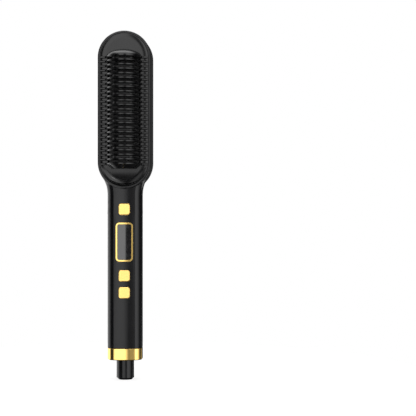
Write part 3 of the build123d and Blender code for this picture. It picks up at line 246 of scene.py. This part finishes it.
# Each material is the common one for its piece, which is a guess. The gloss and colour of the outer
# pieces are matched to the photograph, and those of the inner pieces are typical ones. The brushing
# on the gold is drawn at 0.12 mm, coarser than real brushing. That is still finer than a pixel of the
# main view, where it only softens the gleam.
materials = {
    # ABS from a polished mould: near black, a clear reflection with a slight ripple in it
    "shell_gloss": moulded_gloss(
        "polished_black_abs", "#08080A", "#0B0B0D", 0.17, 0.04, 2.2, 0.002, seam=True
    ),
    # Heat resistant nylon, moulded: blacker than the shells, with a finer ripple
    "comb_gloss": moulded_gloss(
        "black_heat_resistant_nylon", "#040405", "#070708", 0.17, 0.05, 1.1, 0.002, ior=1.46
    ),
    # ABS from a finer polished mould: the sharpest reflection of the black pieces
    "panel_gloss": moulded_gloss("fine_polished_black_abs", "#08080A", "#0C0C0E", 0.14, 0.04, 2.6, 0.002),
    # Anodised aluminium, brushed along the head: streaks of light that run up and down
    "trim_gold": brushed_gold(
        "brushed_gold_anodising", "#FFDC81", "#F2C66E", 0.17, 0.12, (1.0, 1.0, 0.04), 0.0004
    ),
    # Plated and polished round the handle: nearly a mirror, with bands of light and dark
    "ring_gold": brushed_gold(
        "brushed_gold_plating", "#FFDC81", "#F6CD77", 0.08, 0.12, (0.04, 0.04, 1.0), 0.0002
    ),
    # Anodised aluminium with a satin face: an even, pale gold
    "key_gold": brushed_gold("satin_gold_anodising", "#FFDC81", "#F6CD77", 0.2, 0.12, (1.0, 1.0, 0.25)),
    # Nylon from a polished mould: a soft highlight down the stub
    "gland_black": moulded_gloss("black_polished_nylon", "#0B0B0D", "#0F0F12", 0.15, 0.05, 1.4, 0.003),
    # Tinted glass: reflects the studio like a dark mirror
    "display_glass": tinted_glass("tinted_display_glass", "#060607", "#16161A"),
    # Moulded polycarbonate, spark eroded: matt black behind the glass
    "display_black": grained("black_matt_polycarbonate", "#0C0C0E", "#141417", 0.45, 0.4, 0.01),
    # Aluminium with a sprayed and baked ceramic coat: dark satin
    "heater_coat": grained("dark_ceramic_coated_aluminium", "#060607", "#0B0B0C", 0.34, 0.22, 0.006),
    # Fired alumina, unglazed: dry and off-white
    "element_ceramic": grained("white_fired_ceramic", "#CFCBBE", "#E6E2D6", 0.55, 0.3, 0.02),
    # Pressed mica: buff, satin and unevenly mottled
    "mica": grained("pressed_mica_sheet", "#9A835B", "#C9B383", 0.4, 0.8, 0.02, mottle=2.5),
    # Zinc plated steel: pale grey with a cloudy shine
    "steel": grained("zinc_plated_steel", "#8F9194", "#C2C3C6", 0.32, 0.25, 0.004, metallic=1.0, mottle=2.0),
    # Drawn brass: yellow and slightly dull
    "contact_brass": grained("drawn_brass", "#B98B3C", "#D9B366", 0.3, 0.2, 0.004, metallic=1.0, mottle=2.0),
    # Glass fibre laminate under solder mask: green, with a faint weave and bright pads
    "board_green": circuit_laminate("circuit_laminate", "#0C3A1E", "#115028", "#B9B6AA"),
    # Moulded epoxy: matt, almost black
    "part_black": grained("black_moulded_epoxy", "#101012", "#1A1A1D", 0.5, 0.2, 0.01),
    # Moulded polyester case: warm yellow with a slight sheen
    "cap_yellow": grained("yellow_polyester_case", "#B0851C", "#D0A52E", 0.35, 0.6, 0.01),
    # Ceramic disc dipped in epoxy: deep blue and a little uneven
    "disc_blue": grained("blue_dipped_ceramic", "#12275A", "#1D3B7C", 0.35, 0.9, 0.03),
    # Extruded and fired ceramic tube: buff and dry
    "fuse_ceramic": grained("buff_ceramic_tube", "#BDB199", "#D6CBB4", 0.5, 0.3, 0.01),
    # Natural nylon, moulded: milky white
    "plunger_white": grained("natural_nylon", "#C9C7BC", "#DEDCD2", 0.45, 0.3, 0.008),
    # Extruded silicone rubber, in the colours of live, neutral and sensor wires
    "lead_brown": silicone_lead("brown_silicone_lead", "#3A1D10", "#4A2717"),
    "lead_blue": silicone_lead("blue_silicone_lead", "#13294F", "#1B3666"),
    "lead_white": silicone_lead("white_silicone_lead", "#CFCDC6", "#E2E0DA"),
}

for part in frame["record"]["subparts"]:
    solid = frame["nodes"][part["node"]]
    solid.material_slots[0].material = materials[part["material_slot"]]


# The studio's panels and flags, as the object sees them. Azimuth 0 faces the comb and 90 lies at the
# picture's right. Each edge is an angle and its softness in degrees. A later panel hides an earlier
# one. The panel of level 7 is there for the bright spot at the guard's lower end, and the one of
# level 0.12 for the dark half of the display.
PANELS = [
    {"left": (-140, 12), "right": (-84, 2), "low": (-40, 10), "high": (1.6, 0.4), "level": 1.7},
    {"left": (-140, 12), "right": (-111, 6), "low": (1.6, 0.4), "high": (50, 10), "level": 1.7},
    {"left": (-34, 3), "right": (4, 9), "low": (-11.5, 3), "high": (50, 10), "level": 1.8},
    {"left": (-34, 3), "right": (4, 9), "low": (5, 3), "high": (50, 10), "level": 2.05},
    {"left": (-80, 6), "right": (-12, 4), "low": (-78, 6), "high": (-16, 4), "level": 2.0},
    {"left": (8, 4), "right": (36, 8), "low": (-78, 6), "high": (-22, 5), "level": 1.0},
    {"left": (-19, 1), "right": (-12, 1), "low": (-37, 1), "high": (-29, 1), "level": 7.0},
    {"left": (9, 6), "right": (27, 3), "low": (-15, 4), "high": (50, 10), "level": 0.37},
    {"left": (27, 3), "right": (72, 26), "low": (-15, 4), "high": (50, 10), "level": 2.1},
    {"left": (-3.93, 0.03), "right": (6, 1), "low": (-2.9, 0.1), "high": (-0.4, 0.1), "level": 0.12},
    {"left": (36, 8), "right": (96, 4), "low": (-48, 8), "high": (-14, 4), "level": 0.5},
    {"left": (118, 4), "right": (143, 4), "low": (-34, 5), "high": (-9, 4), "level": 1.8},
    {"left": (192, 3), "right": (216, 6), "low": (-34, 5), "high": (50, 10), "level": 1.8},
    {"left": (182, 3), "right": (192, 3), "low": (-34, 5), "high": (-12, 4), "level": 1.8},
]


def between(tree, angle, low, high):
    """1 between two soft edges and 0 outside them. An edge is an angle and its softness."""
    rises = add(tree, "MapRange", (angle, low[0] - low[1], low[0] + low[1]), **SOFT)
    falls = add(tree, "MapRange", (angle, high[0] - high[1], high[0] + high[1], 1.0, 0.0), **SOFT)
    return add(tree, "Math", (rises, falls), operation="MULTIPLY")


def lay_panel(tree, azimuth, elevation, level, panel):
    """One panel laid over the studio's level so far. Its azimuth is turned so that it can cross 180."""
    middle = (panel["left"][0] + panel["right"][0]) / 2
    left = (panel["left"][0] - middle, panel["left"][1])
    right = (panel["right"][0] - middle, panel["right"][1])
    offset = add(tree, "Math", (azimuth, middle), operation="SUBTRACT")
    turned = add(tree, "Math", (offset, 180.0, -180.0), operation="WRAP")
    across = between(tree, turned, left, right)
    upright = between(tree, elevation, panel["low"], panel["high"])
    inside = add(tree, "Math", (across, upright), operation="MULTIPLY")
    return add(tree, "Mix", {"Factor": inside, "A": level, "B": panel["level"]})


def studio():
    """White for the camera, plain and even on matt surfaces, and soft panels in what is glossy."""
    world = bpy.data.worlds.new("studio")
    bpy.context.scene.world = world
    world.use_nodes = True
    tree = world.node_tree
    tree.nodes.clear()
    axes = add(tree, "SeparateXYZ", (add(tree, "TexCoord").outputs["Generated"],))
    forward = add(tree, "Math", (axes.outputs["Y"], -1.0), operation="MULTIPLY")
    turn = add(tree, "Math", (axes.outputs["X"], forward), operation="ARCTAN2")
    rise = add(tree, "Math", (axes.outputs["Z"],), operation="ARCSINE")
    azimuth = add(tree, "Math", (turn,), operation="DEGREES")
    elevation = add(tree, "Math", (rise,), operation="DEGREES")
    sky = (elevation, OVERHEAD_FROM, OVERHEAD_FULL, DARK_LEVEL, OVERHEAD_LEVEL)
    level = add(tree, "MapRange", sky, **SOFT)
    for panel in PANELS:
        level = lay_panel(tree, azimuth, elevation, level, panel)
    rays = add(tree, "LightPath").outputs
    level = add(tree, "Mix", {"Factor": rays["Is Diffuse Ray"], "A": level, "B": PLAIN_LEVEL})
    level = add(tree, "Mix", {"Factor": rays["Is Camera Ray"], "A": level, "B": WHITE_LEVEL})
    back = add(tree, "Background", {"Color": (1, 1, 1, 1), "Strength": level})
    add(tree, "OutputWorld", (back,))


def floor():
    """A plain pale floor that takes the object's soft shadow and stays out of its reflections."""
    mesh = bpy.data.meshes.new("floor")
    angles = [i * math.tau / FLOOR_SIDES for i in range(FLOOR_SIDES)]
    rim = [(FLOOR_RADIUS * math.cos(a), FLOOR_RADIUS * math.sin(a), 0) for a in angles]
    mesh.from_pydata(rim, [], [list(range(FLOOR_SIDES))])
    plane = bpy.data.objects.new("floor", mesh)
    bpy.context.scene.collection.objects.link(plane)
    material, tree = start("pale_floor")
    rays = add(tree, "LightPath").outputs
    matt = add(tree, "BsdfDiffuse", {"Color": (FLOOR_GREY, FLOOR_GREY, FLOOR_GREY, 1)})
    lift = add(tree, "Emission", {"Color": (1, 1, 1, 1), "Strength": FLOOR_LIFT})
    lifted = add(tree, "AddShader", (matt, lift))
    seen = add(tree, "MixShader", (rays["Is Camera Ray"], matt, lifted))
    clear = add(tree, "BsdfTransparent")
    whole = add(tree, "MixShader", (rays["Is Glossy Ray"], seen, clear))
    add(tree, "OutputMaterial", (whole,))
    mesh.materials.append(material)


def camera():
    """The photograph's viewpoint: level, in front, a little to the right, as high as the power key."""
    data = bpy.data.cameras.new("camera")
    data.sensor_width = SENSOR_MM
    data.lens = LENS_MM
    data.clip_start = NEAR_CLIP
    data.clip_end = FAR_CLIP
    eye = bpy.data.objects.new("camera", data)
    eye.location = Vector(EYE_MM) * MM
    eye.rotation_euler = (math.radians(90), 0, 0)
    bpy.context.scene.collection.objects.link(eye)
    bpy.context.scene.camera = eye


studio()
floor()
camera()
bpy.context.scene.view_settings.view_transform = "Standard"
